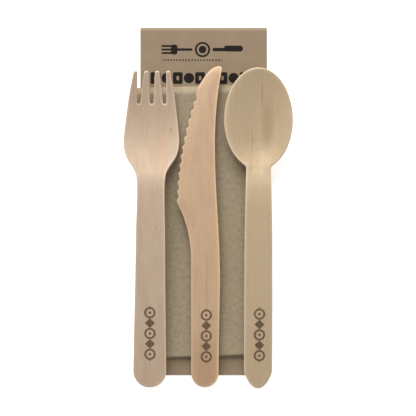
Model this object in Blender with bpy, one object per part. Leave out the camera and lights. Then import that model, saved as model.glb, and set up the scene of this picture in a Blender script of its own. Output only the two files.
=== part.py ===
"""Wooden cutlery pack: a birch fork, knife and spoon that lie on a folded tissue
napkin, which lies on a flat kraft paper sleeve.

Metres, +Z up. +Y runs towards the tines, the blade's tip and the bowl. The
sleeve's underside is z = 0, and the plan of the whole pack is centred on the
origin. Each piece of cutlery is one hot-pressed birch veneer: a grid is spanned
between the curves of its outline, lifted to the pressed form, and given the
veneer's thickness by a Solidify modifier. In a piece's own plan, s runs across
it and t along it from the end of the handle.
"""

import math

import bmesh
import bpy
import numpy as np

MM = 0.001
GAP = 0.3 * MM  # air left between two pieces that touch

# Sleeve: a flat pouch of one folded kraft sheet, open at its +Y end.
SLEEVE_SIZE = (63.5 * MM, 174.3 * MM)
SLEEVE_CENTRE = (-2.25 * MM, 3.15 * MM)
SLEEVE_PLY = 0.25 * MM
SLEEVE_SLIT = 0.3 * MM
SLEEVE_SEAL = 3.0 * MM  # closed strip at the -Y end
SLEEVE_SIDE_WALL = 0.5 * MM
SLEEVE_HEIGHT = 2 * SLEEVE_PLY + SLEEVE_SLIT
SLEEVE_FOLD_ROUND = 0.38 * SLEEVE_HEIGHT  # rounding of the long folds

# Napkin: eight layers, with its last fold across the -Y end.
NAPKIN_SIZE = (61.0 * MM, 134.5 * MM)
NAPKIN_CENTRE = (-3.55 * MM, -6.9 * MM)
NAPKIN_TURN = math.radians(1.75)
NAPKIN_LEAVES = 4  # pairs of layers that the open edge shows
NAPKIN_LEAF = 0.45 * MM
NAPKIN_STAGGER = 0.8 * MM  # how far the lower half sticks out at the open edge
NAPKIN_NICK = 0.25 * MM  # depth of the nick between two leaves
NAPKIN_LEAF_CORNER = 0.2 * NAPKIN_LEAF  # height of a leaf's sloped corners at its edge
NAPKIN_HEIGHT = NAPKIN_LEAVES * NAPKIN_LEAF

LYING = SLEEVE_HEIGHT + GAP + NAPKIN_HEIGHT + GAP  # lowest point of the cutlery
VENEER = 1.75 * MM

# Fork.
FORK_LENGTH = 158.0 * MM
FORK_PLACE = (-29.2 * MM, -89.65 * MM)
FORK_TURN = math.radians(-0.43)
FORK_END_RADIUS = 8.25 * MM
FORK_HALF_WIDTH = [  # (t, half width) in mm
    (8.25, 8.25), (28, 7.95), (55, 7.5), (80, 7.2), (98, 6.85), (103.5, 7.0),
    (107, 7.75), (110.2, 9.5), (113.5, 11.75), (117, 13.25), (121.5, 14.0),
    (128, 13.65), (136, 12.75), (146, 11.4), (158, 9.15),
]
FORK_RISE = [  # (t, height above the lying plane) in mm
    (0, 0.0), (12, 1.25), (35, 3.35), (60, 5.2), (82, 6.4), (96, 6.75), (101, 6.6),
    (105, 5.95), (109, 4.5), (114, 2.6), (119, 1.15), (124, 0.3), (129.5, 0.0),
    (134.5, 0.12), (140, 0.65), (148, 1.95), (158, 4.0),
]
HEAD_DISH = 0.9 * MM  # how much higher the head's sides are than its middle
HEAD_DISH_FROM, HEAD_DISH_TO = 108 * MM, 122 * MM
SLOT_ROOT = 141.65 * MM
SLOT_ROOT_RADIUS = 0.83 * MM
SLOT_CENTRES = [(-6.53, -5.5), (0.0, 0.0), (6.53, 5.5)]  # mm at the root and at the tips
SLOT_HALF_WIDTH_AT_TIPS = [1.7, 1.6, 1.7]  # mm

# Spoon.
SPOON_LENGTH = 160.0 * MM
SPOON_PLACE = (24.9 * MM, -90.12 * MM)
SPOON_TURN = math.radians(-0.1)
BOWL_CENTRE = 133.8 * MM
BOWL_HALF_WIDTH = 17.13 * MM
BOWL_BACK = 24.75 * MM
SPOON_HANDLE = [  # (t, half width) in mm
    (0, 7.0), (48, 7.0), (86, 6.7), (104, 6.27), (112, 6.1), (160, 6.1),
]
SPOON_END = 8.5 * MM  # length of the closing end of the handle
SPOON_END_POWER = 1.22
NECK_FILLET = 0.8 * MM
SPOON_RISE = [  # (t, height of the rim above the lying plane) in mm
    (0, 0.0), (12, 1.25), (35, 3.35), (60, 5.1), (82, 6.25), (96, 6.6), (101, 6.25),
    (106, 5.2), (110, 4.6), (114, 4.35), (122, 4.2), (134, 4.1), (142, 4.1),
    (150, 4.3), (160, 4.75),
]
SPOON_HOLLOW = [  # (t, depth of the bowl's middle below its rim) in mm
    (0, 0.0), (98, 0.0), (102, 0.0), (106, 0.15), (110, 1.25), (114, 2.7), (118, 3.8),
    (121.5, 4.15), (127, 3.95), (134, 3.4), (142, 2.5), (150, 1.45), (156, 0.65), (160, 0.0),
]
HOLLOW_POWER = 2.0
RIM_FLAT = 0.2 * MM  # how far outside the outline the hollow would end

# Knife.
KNIFE_LENGTH = 160.3 * MM
KNIFE_PLACE = (-1.55 * MM, -89.65 * MM)
KNIFE_BACK = [(7, 6.8), (30, 7.1), (49, 7.47), (153, 7.47), (158, 8.35), (158.85, 8.5)]  # (t, s)
KNIFE_HANDLE_SIDE = -6.95 * MM
KNIFE_END_RADIUS = 7.05 * MM
HEEL = (-14.05 * MM, 92.2 * MM)
HEEL_CURVE_FROM, HEEL_CURVE_POWER = 62 * MM, 2.3
EDGE_CURVE_TO, EDGE_CURVE_POWER = (-3.0 * MM, 150.65 * MM), 1.9
TIP_CURVE = [(150.65, -3.0), (153.75, -1.05), (156.65, 1.0), (158.25, 2.6), (159.2, 3.8)]  # (t, s)
TIP_ARC = [(3.8, 159.2), (5.0, 159.85), (6.7, 160.3), (8.0, 159.9), (8.5, 158.85)]  # (s, t)
FIRST_TOOTH, TOOTH_PITCH, TOOTH_COUNT = 93.5 * MM, 4.42 * MM, 12
TOOTH_DEPTHS = (1.0 * MM, 1.55 * MM)  # at the heel and at the last tooth
TOOTH_ROOT = 0.28  # place of the root, as a share of the pitch above the lower tip
KNIFE_RISE = [(0, 0.0), (20, 1.3), (50, 2.6), (90, 3.2), (125, 2.6), (160.3, 1.4)]
BEVEL_WIDTH, EDGE_SHARE = 6.5 * MM, 0.5  # pressed bevel, and the veneer left at the edge


# ---------------------------------------------------------------- helpers

def clear_scene():
    for thing in list(bpy.data.objects):
        bpy.data.objects.remove(thing, do_unlink=True)


def make_material(name, colour, roughness):
    material = bpy.data.materials.new(name)
    material.use_nodes = True
    shader = material.node_tree.nodes["Principled BSDF"]
    shader.inputs["Base Color"].default_value = (*colour, 1.0)
    shader.inputs["Roughness"].default_value = roughness
    shader.inputs["Metallic"].default_value = 0.0
    return material


def add_object(name, mesh, material, place, turn=0.0):
    thing = bpy.data.objects.new(name, mesh)
    bpy.context.scene.collection.objects.link(thing)
    mesh.materials.append(material)
    thing.location = place
    thing.rotation_euler.z = turn
    return thing


def smooth_curve(stations, at):
    """Cubic curve through (place, value) stations, each slope taken from the neighbours."""
    x, y = np.array(stations, float).T
    slope = np.gradient(y, x)
    k = np.clip(np.searchsorted(x, at) - 1, 0, len(x) - 2)
    span = x[k + 1] - x[k]
    f = (at - x[k]) / span
    start = y[k] * (1 + 2 * f) * (1 - f) ** 2 + slope[k] * span * f * (1 - f) ** 2
    end = y[k + 1] * f * f * (3 - 2 * f) + slope[k + 1] * span * f * f * (f - 1)
    return start + end


def curve_in_mm(stations, at):
    return smooth_curve(stations, at / MM) * MM


def eased(value, start, end):
    """0 before start and 1 after end, with a smooth step between."""
    f = np.clip((value - start) / (end - start), 0, 1)
    return f * f * (3 - 2 * f)


def spanned(left, right, lower, upper, across):
    """Coons patch: rows run from the left curve to the right one, bulged so that
    the first row is the lower curve and the last row is the upper one."""
    v = np.linspace(0, 1, len(left))[:, None, None]
    u = across[None, :, None]
    sides = (1 - u) * left[:, None] + u * right[:, None]
    ends = (1 - v) * lower[None] + v * upper[None]
    low = (1 - u) * lower[0] + u * lower[-1]
    high = (1 - u) * upper[0] + u * upper[-1]
    return sides + ends - (1 - v) * low - v * high


def round_end(half_width, cut, tip, across):
    """Curve over a rounded end, from the left side at t = cut, through t = tip, to
    the right side, found by turning half_width(t) round."""
    t = np.linspace(tip, cut, 400)
    width = half_width(t)
    s = (2 * across - 1) * width[-1]
    return np.stack([s, np.interp(np.abs(s), width, t)], axis=1)


def veneer_piece(name, plan, height, kept, material, place, turn, share=None):
    """One pressed veneer: the grid's kept cells at their height, thickened upwards.
    share gives, for each grid point, the part of the veneer's thickness left there."""
    rows, columns = plan.shape[:2]
    number = np.arange(rows * columns).reshape(rows, columns)
    cells = np.stack(
        [number[:-1, :-1], number[:-1, 1:], number[1:, 1:], number[1:, :-1]], axis=-1
    )[kept]
    used, faces = np.unique(cells, return_inverse=True)
    points = np.dstack([plan, height]).reshape(-1, 3)[used]
    mesh = bpy.data.meshes.new(name)
    mesh.from_pydata(points.tolist(), [], faces.reshape(-1, 4).tolist())
    mesh.shade_smooth()
    thing = add_object(name, mesh, material, (*place, LYING), turn)
    thicken = thing.modifiers.new("veneer", "SOLIDIFY")
    thicken.thickness = VENEER
    thicken.offset = 1.0
    thicken.use_even_offset = True
    if share is not None:
        group = thing.vertex_groups.new(name="veneer_share")
        for index, part in enumerate(share.reshape(-1)[used]):
            group.add([index], float(part), "REPLACE")
        thicken.vertex_group = group.name
    mesh.set_sharp_from_angle(angle=math.radians(40))
    return thing


# ---------------------------------------------------------------- sleeve and napkin

def make_sleeve(material):
    """A flat closed plate with rounded long folds, and a slit cut in from its mouth."""
    width, length = SLEEVE_SIZE
    x, y = SLEEVE_CENTRE
    mesh = bpy.data.meshes.new("kraft_sleeve")
    shape = bmesh.new()
    bmesh.ops.create_cube(shape, size=1.0)
    bmesh.ops.scale(shape, vec=(width, length, SLEEVE_HEIGHT), verts=shape.verts)
    long_edges = [e for e in shape.edges if abs(e.verts[0].co.y - e.verts[1].co.y) > width]
    bmesh.ops.bevel(
        shape, geom=long_edges, offset=SLEEVE_FOLD_ROUND, segments=3, profile=0.5,
        affect="EDGES",
    )
    shape.to_mesh(mesh)
    shape.free()
    sleeve = add_object("kraft_sleeve", mesh, material, (x, y, SLEEVE_HEIGHT / 2))

    past = 5 * MM  # how far the cutter reaches past the mouth
    slit_mesh = bpy.data.meshes.new("slit_cutter")
    shape = bmesh.new()
    bmesh.ops.create_cube(shape, size=1.0)
    slit = (width - 2 * SLEEVE_SIDE_WALL, length - SLEEVE_SEAL + past, SLEEVE_SLIT)
    bmesh.ops.scale(shape, vec=slit, verts=shape.verts)
    shape.to_mesh(slit_mesh)
    shape.free()
    cutter = bpy.data.objects.new("slit_cutter", slit_mesh)
    bpy.context.scene.collection.objects.link(cutter)
    cutter.location = (x, y + (SLEEVE_SEAL + past) / 2, SLEEVE_HEIGHT / 2)
    cutter.hide_render = True
    cutter.display_type = "WIRE"
    cut = sleeve.modifiers.new("slit", "BOOLEAN")
    cut.operation = "DIFFERENCE"
    cut.object = cutter
    return sleeve


def napkin_section():
    """Outline of the folded napkin in (y, z): a round fold at -Y, and at +Y the
    leaves' edges with a nick between two leaves and the lower half further out."""
    half = NAPKIN_SIZE[1] / 2
    radius = NAPKIN_HEIGHT / 2
    turn = np.linspace(1.5 * math.pi, 0.5 * math.pi, 9)
    fold = [(-half + radius + radius * math.cos(a), radius + radius * math.sin(a)) for a in turn]
    points = []
    for leaf in range(NAPKIN_LEAVES):
        edge = half if leaf < NAPKIN_LEAVES / 2 else half - NAPKIN_STAGGER
        low = leaf * NAPKIN_LEAF
        if leaf > 0:
            points.append((edge - NAPKIN_NICK, low))
        points.append((edge, low + NAPKIN_LEAF_CORNER))
        points.append((edge, low + NAPKIN_LEAF - NAPKIN_LEAF_CORNER))
    return [(half - NAPKIN_NICK, 0.0)] + points + [(edge - NAPKIN_NICK, NAPKIN_HEIGHT)] + fold[::-1]


def make_napkin(material):
    """The section drawn along X over the folded width."""
    half_width = NAPKIN_SIZE[0] / 2
    mesh = bpy.data.meshes.new("folded_napkin")
    shape = bmesh.new()
    ring = [shape.verts.new((-half_width, y, z)) for y, z in napkin_section()]
    face = shape.faces.new(ring)
    drawn = bmesh.ops.extrude_face_region(shape, geom=[face])
    moved = [v for v in drawn["geom"] if isinstance(v, bmesh.types.BMVert)]
    bmesh.ops.translate(shape, vec=(2 * half_width, 0, 0), verts=moved)
    bmesh.ops.recalc_face_normals(shape, faces=shape.faces)
    shape.to_mesh(mesh)
    shape.free()
    place = (*NAPKIN_CENTRE, SLEEVE_HEIGHT + GAP)
    return add_object("folded_napkin", mesh, material, place, NAPKIN_TURN)


# ---------------------------------------------------------------- fork

def fork_half_width(t):
    end = np.sqrt(np.clip(FORK_END_RADIUS**2 - (FORK_END_RADIUS - t) ** 2, 0, None))
    return np.where(t < FORK_END_RADIUS, end, curve_in_mm(FORK_HALF_WIDTH, t))


def fork_columns(front, per_tine, per_slot):
    """Places across the front of the palm, tine after slot after tine, and the first
    and last column of each tine."""
    edge = fork_half_width(front)
    roots = [-edge]
    for root, _ in SLOT_CENTRES:
        roots += [root * MM - SLOT_ROOT_RADIUS, root * MM + SLOT_ROOT_RADIUS]
    roots.append(edge)
    places, tines = [roots[0]], []
    for k in range(len(roots) - 1):
        count = per_tine if k % 2 == 0 else per_slot
        if k % 2 == 0:
            tines.append((len(places) - 1, len(places) - 1 + count))
        places += list(np.linspace(roots[k], roots[k + 1], count + 1)[1:])
    return np.array(places), tines


def slot_dip(s):
    """How far the palm's front edge falls back at a slot, as its round root."""
    centres = np.array([root for root, _ in SLOT_CENTRES]) * MM
    off = np.abs(s[:, None] - centres).min(axis=1)
    return np.sqrt(np.clip(SLOT_ROOT_RADIUS**2 - off**2, 0, None))


def tine_sides(tine, t, front):
    """The left and right side of a tine, each straight from the front to the tip."""
    f = (t - front) / (FORK_LENGTH - front)

    def slot_side(slot, side):
        (root, tip), half = SLOT_CENTRES[slot], SLOT_HALF_WIDTH_AT_TIPS[slot] * MM
        start = root * MM + side * SLOT_ROOT_RADIUS
        return start + f * (tip * MM + side * half - start)

    outer = fork_half_width(t)
    left = -outer if tine == 0 else slot_side(tine - 1, 1)
    right = outer if tine == len(SLOT_CENTRES) else slot_side(tine, -1)
    return left, right


def tine_grid(tine, lower, front, rows):
    """A tine from the palm's front to its rounded tip."""
    tip_left, tip_right = tine_sides(tine, np.array([FORK_LENGTH]), front)
    radius = float(tip_right[0] - tip_left[0]) / 2
    cut = FORK_LENGTH - radius * (1 - math.cos(math.pi / 4))
    t = np.linspace(front, cut, rows)
    left, right = tine_sides(tine, t, front)
    narrow = radius * (1 - math.sin(math.pi / 4)) * eased(t, cut - 2 * radius, cut)
    across = (lower[:, 0] - lower[0, 0]) / (lower[-1, 0] - lower[0, 0])
    turn = math.pi / 4 * (2 * across - 1)
    middle = (left[-1] + right[-1]) / 2
    arc_top = FORK_LENGTH - radius + radius * np.cos(turn)
    tip = np.stack([middle + radius * np.sin(turn), arc_top], axis=1)
    left_curve = np.stack([left + narrow, t], axis=1)
    right_curve = np.stack([right - narrow, t], axis=1)
    left_curve[-1], right_curve[-1] = tip[0], tip[-1]
    return spanned(left_curve, right_curve, lower, tip, across)


def fork_height(s, t):
    dish = HEAD_DISH * (s / max(w for _, w in FORK_HALF_WIDTH) / MM) ** 2
    return curve_in_mm(FORK_RISE, t) + dish * eased(t, HEAD_DISH_FROM, HEAD_DISH_TO)


def make_fork(material):
    front = SLOT_ROOT + SLOT_ROOT_RADIUS
    places, tines = fork_columns(np.array(front), per_tine=3, per_slot=4)
    across = (places - places[0]) / (places[-1] - places[0])
    cut = FORK_END_RADIUS * (1 - math.cos(math.pi / 4))
    t = np.concatenate([
        np.linspace(cut, 12 * MM, 4), np.linspace(22 * MM, 100 * MM, 9),
        np.linspace(104 * MM, front, 15),
    ])
    side = fork_half_width(t)
    lower = round_end(fork_half_width, cut, 0.0, across)
    upper = np.stack([places, front - slot_dip(places)], axis=1)
    palm = spanned(
        np.stack([-side, t], axis=1), np.stack([side, t], axis=1), lower, upper, across
    )
    tine_rows = 8
    plan = np.zeros((len(t) + tine_rows - 1, len(places), 2))
    plan[: len(t)] = palm
    kept = np.zeros((plan.shape[0] - 1, plan.shape[1] - 1), bool)
    kept[: len(t) - 1] = True
    for k, (first, last) in enumerate(tines):
        plan[len(t) - 1 :, first : last + 1] = tine_grid(
            k, palm[-1, first : last + 1], front, tine_rows
        )
        kept[len(t) - 1 :, first:last] = True
    height = fork_height(plan[..., 0], plan[..., 1])
    return veneer_piece("wood_fork", plan, height, kept, material, FORK_PLACE, FORK_TURN)


# ---------------------------------------------------------------- spoon

def spoon_half_width(t):
    reach = np.where(t < BOWL_CENTRE, BOWL_BACK, SPOON_LENGTH - BOWL_CENTRE)
    bowl = BOWL_HALF_WIDTH * np.sqrt(np.clip(1 - ((t - BOWL_CENTRE) / reach) ** 2, 0, None))
    closing = np.sqrt(1 - (1 - np.clip(t / SPOON_END, 0, 1)) ** SPOON_END_POWER)
    handle = curve_in_mm(SPOON_HANDLE, t) * closing
    joined = (bowl + handle + np.sqrt((bowl - handle) ** 2 + NECK_FILLET**2)) / 2
    return np.where(t > BOWL_CENTRE, bowl, np.where(t < BOWL_CENTRE - BOWL_BACK, handle, joined))


def spoon_height(s, t):
    """The rim's rise less the hollow, D(t) (1 - (s / w)^2)^p, where D is the hollow's
    depth along the middle and w the half width."""
    share = np.clip(1 - (s / (spoon_half_width(t) + RIM_FLAT)) ** 2, 0, 1)
    return curve_in_mm(SPOON_RISE, t) - curve_in_mm(SPOON_HOLLOW, t) * share**HOLLOW_POWER


def make_spoon(material):
    across = np.linspace(0, 1, 15)
    low_cut = 2.0 * MM
    high_cut = BOWL_CENTRE + (SPOON_LENGTH - BOWL_CENTRE) * math.sin(math.pi / 4)
    t = np.concatenate([
        np.linspace(low_cut, 12 * MM, 5), np.linspace(22 * MM, 100 * MM, 9),
        np.linspace(104 * MM, 126 * MM, 9), np.linspace(130 * MM, high_cut, 7),
    ])
    side = spoon_half_width(t)
    lower = round_end(spoon_half_width, low_cut, 0.0, across)
    upper = round_end(spoon_half_width, high_cut, SPOON_LENGTH, across)
    plan = spanned(
        np.stack([-side, t], axis=1), np.stack([side, t], axis=1), lower, upper, across
    )
    height = spoon_height(plan[..., 0], plan[..., 1])
    kept = np.ones((plan.shape[0] - 1, plan.shape[1] - 1), bool)
    return veneer_piece("wood_spoon", plan, height, kept, material, SPOON_PLACE, SPOON_TURN)


# ---------------------------------------------------------------- knife

def edge_without_teeth(t):
    """The blade's side of the knife: the handle, the curve out to the heel, then the
    cutting edge, which runs through the tips of the teeth to the tip's own curve."""
    heel_s, heel_t = HEEL
    end_s, end_t = EDGE_CURVE_TO
    out = np.clip((t - HEEL_CURVE_FROM) / (heel_t - HEEL_CURVE_FROM), 0, 1)
    handle = KNIFE_HANDLE_SIDE + (heel_s - KNIFE_HANDLE_SIDE) * out**HEEL_CURVE_POWER
    along = np.clip((t - heel_t) / (end_t - heel_t), 0, 1)
    edge = heel_s + (end_s - heel_s) * along**EDGE_CURVE_POWER
    tip = curve_in_mm(TIP_CURVE, t)
    return np.where(t < heel_t, handle, np.where(t < end_t, edge, tip))


def tooth_depth(t):
    """Each tooth rises from its tip in a short edge to the root, then falls back in a
    long one to the next tip."""
    turns = (t - FIRST_TOOTH) / TOOTH_PITCH
    f = turns - np.floor(turns)
    rise, fall = f / TOOTH_ROOT, (1 - f) / (1 - TOOTH_ROOT)
    toothed = (turns > 0) & (turns < TOOTH_COUNT)
    depth = np.interp(turns, (0, TOOTH_COUNT), TOOTH_DEPTHS)
    return np.where(toothed, depth * np.minimum(rise, fall), 0.0)


def knife_rows():
    """Rows along t: some on each smooth stretch, and one on each tip and root."""
    tips = FIRST_TOOTH + TOOTH_PITCH * np.arange(TOOTH_COUNT)
    teeth = (tips[:, None] + TOOTH_PITCH * np.array([0, TOOTH_ROOT, 0.65])).ravel()
    cut = KNIFE_END_RADIUS * (1 - math.cos(math.pi / 4))
    return np.concatenate([
        np.linspace(cut, KNIFE_END_RADIUS, 4), np.linspace(14 * MM, 62 * MM, 6),
        np.linspace(68 * MM, HEEL[1], 7), teeth,
        np.linspace(FIRST_TOOTH + TOOTH_COUNT * TOOTH_PITCH, TIP_CURVE[-1][0] * MM, 9),
    ])


def knife_end(across, left, right, cut):
    """Round end of the handle between its two sides at t = cut."""
    turn = math.pi / 4 * (2 * across - 1)
    t = KNIFE_END_RADIUS * (1 - np.cos(turn))
    t *= cut / t[0]
    spread = np.sin(turn) / math.sin(math.pi / 4)
    return np.stack([(left + right) / 2 + spread * (right - left) / 2, t], axis=1)


def knife_height(s, t):
    return curve_in_mm(KNIFE_RISE, t)


def make_knife(material):
    across = np.linspace(0, 1, 9)
    t = knife_rows()
    left = edge_without_teeth(t) + tooth_depth(t)
    right = curve_in_mm(KNIFE_BACK, np.maximum(t, KNIFE_BACK[0][0] * MM))
    right = np.where(t > KNIFE_BACK[-1][0] * MM, KNIFE_BACK[-1][1] * MM, right)
    round_in = KNIFE_END_RADIUS - np.sqrt(
        np.clip(KNIFE_END_RADIUS**2 - (KNIFE_END_RADIUS - np.minimum(t, KNIFE_END_RADIUS)) ** 2, 0, None)
    )
    left, right = left + round_in, right - round_in
    t_right = np.minimum(t, KNIFE_BACK[-1][0] * MM)
    lower = knife_end(across, left[0], right[0], t[0])
    arc_s, arc_t = np.array(TIP_ARC).T * MM
    arc_along = np.linspace(0, 1, len(arc_s))
    upper = np.stack([np.interp(across, arc_along, arc_s), np.interp(across, arc_along, arc_t)], axis=1)
    plan = spanned(
        np.stack([left, t], axis=1), np.stack([right, t_right], axis=1), lower, upper, across
    )
    height = knife_height(plan[..., 0], plan[..., 1])
    kept = np.ones((plan.shape[0] - 1, plan.shape[1] - 1), bool)
    from_edge = plan[..., 0] - edge_without_teeth(plan[..., 1])
    bladed = eased(plan[..., 1], HEEL_CURVE_FROM, HEEL[1])
    thin = (1 - EDGE_SHARE) * (1 - eased(from_edge, 0, BEVEL_WIDTH)) * bladed
    return veneer_piece(
        "wood_knife", plan, height, kept, material, KNIFE_PLACE, 0.0, share=1 - thin
    )


def main():
    clear_scene()
    make_sleeve(make_material("kraft_paper", (0.41, 0.30, 0.20), 0.85))
    make_napkin(make_material("unbleached_tissue", (0.38, 0.31, 0.21), 0.95))
    make_fork(make_material("birch_fork", (0.60, 0.45, 0.32), 0.6))
    make_knife(make_material("birch_knife", (0.66, 0.46, 0.29), 0.6))
    make_spoon(make_material("birch_spoon", (0.60, 0.47, 0.31), 0.6))


main()
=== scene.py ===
# %% [markdown]
# # A wooden cutlery pack
# This lesson builds the looks of a small takeaway set: a fork, a knife and a spoon
# of pressed birch veneer on a folded tissue napkin, all on a flat kraft paper sleeve.
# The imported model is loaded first, as a frame that nothing here may move. Every
# visible piece is then a surface worked out with numpy, which stands in the place
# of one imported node.

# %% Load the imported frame
import math

import bpy
import numpy as np
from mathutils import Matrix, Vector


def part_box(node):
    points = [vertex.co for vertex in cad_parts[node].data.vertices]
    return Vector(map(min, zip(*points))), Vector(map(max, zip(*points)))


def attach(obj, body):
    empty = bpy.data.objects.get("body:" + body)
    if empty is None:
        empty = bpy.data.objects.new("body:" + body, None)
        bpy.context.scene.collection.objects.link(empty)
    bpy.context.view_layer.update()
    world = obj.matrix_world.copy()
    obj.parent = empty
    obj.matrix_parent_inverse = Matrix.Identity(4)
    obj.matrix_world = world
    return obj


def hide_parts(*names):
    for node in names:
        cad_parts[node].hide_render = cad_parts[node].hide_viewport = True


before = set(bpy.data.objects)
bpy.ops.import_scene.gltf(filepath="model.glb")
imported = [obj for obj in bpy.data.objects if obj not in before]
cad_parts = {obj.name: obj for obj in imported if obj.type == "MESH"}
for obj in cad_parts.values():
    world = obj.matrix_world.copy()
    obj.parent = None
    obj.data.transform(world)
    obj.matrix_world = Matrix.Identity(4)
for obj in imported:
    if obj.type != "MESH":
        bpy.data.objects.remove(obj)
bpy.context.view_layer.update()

MM = 0.001


# %% [markdown]
# ## Three small helpers
# Stations along a piece are joined by a smooth cubic curve, a smooth step eases one
# value into another, and a mesh is made from arrays. With these, a shape is only a
# formula of two parameters, and Blender's own modelling tools aren't needed for it.

# %% Curves, steps and meshes
def smooth_curve(stations, at):
    """Cubic curve through (place, value) stations in mm, at places in metres:
    (1+2f)(1-f)^2 y0 + f(1-f)^2 m0 + f^2(3-2f) y1 + f^2(f-1) m1 on each span."""
    x, y = np.array(stations, float).T * MM
    slope = np.gradient(y, x)
    k = np.clip(np.searchsorted(x, at) - 1, 0, len(x) - 2)
    span = x[k + 1] - x[k]
    f = (at - x[k]) / span
    start = y[k] * (1 + 2 * f) * (1 - f) ** 2 + slope[k] * span * f * (1 - f) ** 2
    end = y[k + 1] * f * f * (3 - 2 * f) + slope[k + 1] * span * f * f * (f - 1)
    return start + end


def eased(value, start, end):
    """0 before start and 1 after end, with the step 3f^2 - 2f^3 between."""
    f = np.clip((value - start) / (end - start), 0, 1)
    return f * f * (3 - 2 * f)


def grid_cells(rows, columns):
    """The corner numbers of each cell of a grid, anticlockwise from above."""
    number = np.arange(rows * columns).reshape(rows, columns)
    corners = [number[:-1, :-1], number[:-1, 1:], number[1:, 1:], number[1:, :-1]]
    return np.stack(corners, axis=-1)


def mesh_piece(name, points, faces, attributes=None):
    mesh = bpy.data.meshes.new(name)
    mesh.from_pydata(points.tolist(), [], faces.tolist())
    mesh.shade_smooth()
    for key, values in (attributes or {}).items():
        mesh.attributes.new(key, "FLOAT", "POINT").data.foreach_set("value", values)
    piece = bpy.data.objects.new(name, mesh)
    bpy.context.scene.collection.objects.link(piece)
    size = np.ptp(points, axis=0) / MM
    print(name, len(points), "points,", np.round(size, 1).tolist(), "mm")
    return piece


# %% [markdown]
# ## A board of veneer
# Disposable cutlery is stamped from one thin sheet of birch and then pressed hot, so
# each piece is a flat outline that was bent and kept its thickness. That is how it is
# made here too. A grid is spanned between the curves of the outline, lifted to the
# pressed height, and given two skins along its normal. The corners of the edge are
# eased by moving each skin inwards near the outline. A Bevel modifier could round
# them, but it would clamp at the small teeth of the knife.

# %% Span a grid between four curves
EDGE_STEPS = np.array([0.0, 0.05, 0.13, 0.25, 0.42, 0.7, 1.1]) * MM  # rows beside an edge


def stations(start, stop, step):
    """Places from start to stop, closer together beside both ends."""
    reach = EDGE_STEPS[-1]
    count = max(2, int(round((stop - start - 2 * reach) / step)) + 1)
    middle = np.linspace(start + reach, stop - reach, count)
    return np.concatenate([start + EDGE_STEPS[:-1], middle, stop - EDGE_STEPS[-2::-1]])


def spanned(left, right, lower, upper, across, along):
    """Coons patch: (1-u) left + u right + (1-v) lower + v upper, less the straight
    blend of the four corners. u is across and v is along."""
    u, v = across[None, :, None], along[:, None, None]
    low = (1 - u) * lower[0] + u * lower[-1]
    high = (1 - u) * upper[0] + u * upper[-1]
    sides = (1 - u) * left[:, None] + u * right[:, None]
    return sides + (1 - v) * (lower[None] - low) + v * (upper[None] - high)


def round_end(half_width, cut, tip, across):
    """Curve over a rounded end: half_width(t) turned round, from the left side at
    t = cut, through t = tip, to the right side."""
    t = np.linspace(tip, cut, 2000)
    width = half_width(t)
    s = (2 * across - 1) * width[-1]
    return np.stack([s, np.interp(np.abs(s), width, t)], axis=1)


def unit(t):
    return (t - t[0]) / (t[-1] - t[0])


def columns_from(width, step):
    """Shares of a width from 0 to 1, closer together beside both edges."""
    return unit(stations(0.0, width, step))


# %% Give the grid two skins and an eased edge
EDGE_RADIUS = 0.35 * MM
THINNEST_ROUND = 0.45  # an edge's largest radius, as a share of the board's thickness
VENEER = 1.75 * MM
PALE_EDGE = 0.75 * MM  # how far the paler rim reaches in
PALE_SIDE_BLEND = 3.0 * MM


def outline_edges(faces):
    """The directed edges that only one face uses."""
    edges = np.stack([faces, np.roll(faces, -1, axis=1)], axis=-1).reshape(-1, 2)
    _, first, uses = np.unique(
        np.sort(edges, axis=1), axis=0, return_index=True, return_counts=True
    )
    return edges[first[uses == 1]]


def distance_to_outline(points, starts, ends):
    """Shortest distance from each point to any segment of the outline."""
    run = ends - starts
    length2 = (run**2).sum(axis=1)
    near = []
    for part in np.array_split(points, max(1, len(points) // 1500)):
        away = part[:, None] - starts[None]
        f = np.clip((away * run).sum(axis=2) / length2, 0, 1)
        near.append(np.linalg.norm(away - f[..., None] * run, axis=2).min(axis=1))
    return np.concatenate(near)


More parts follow.
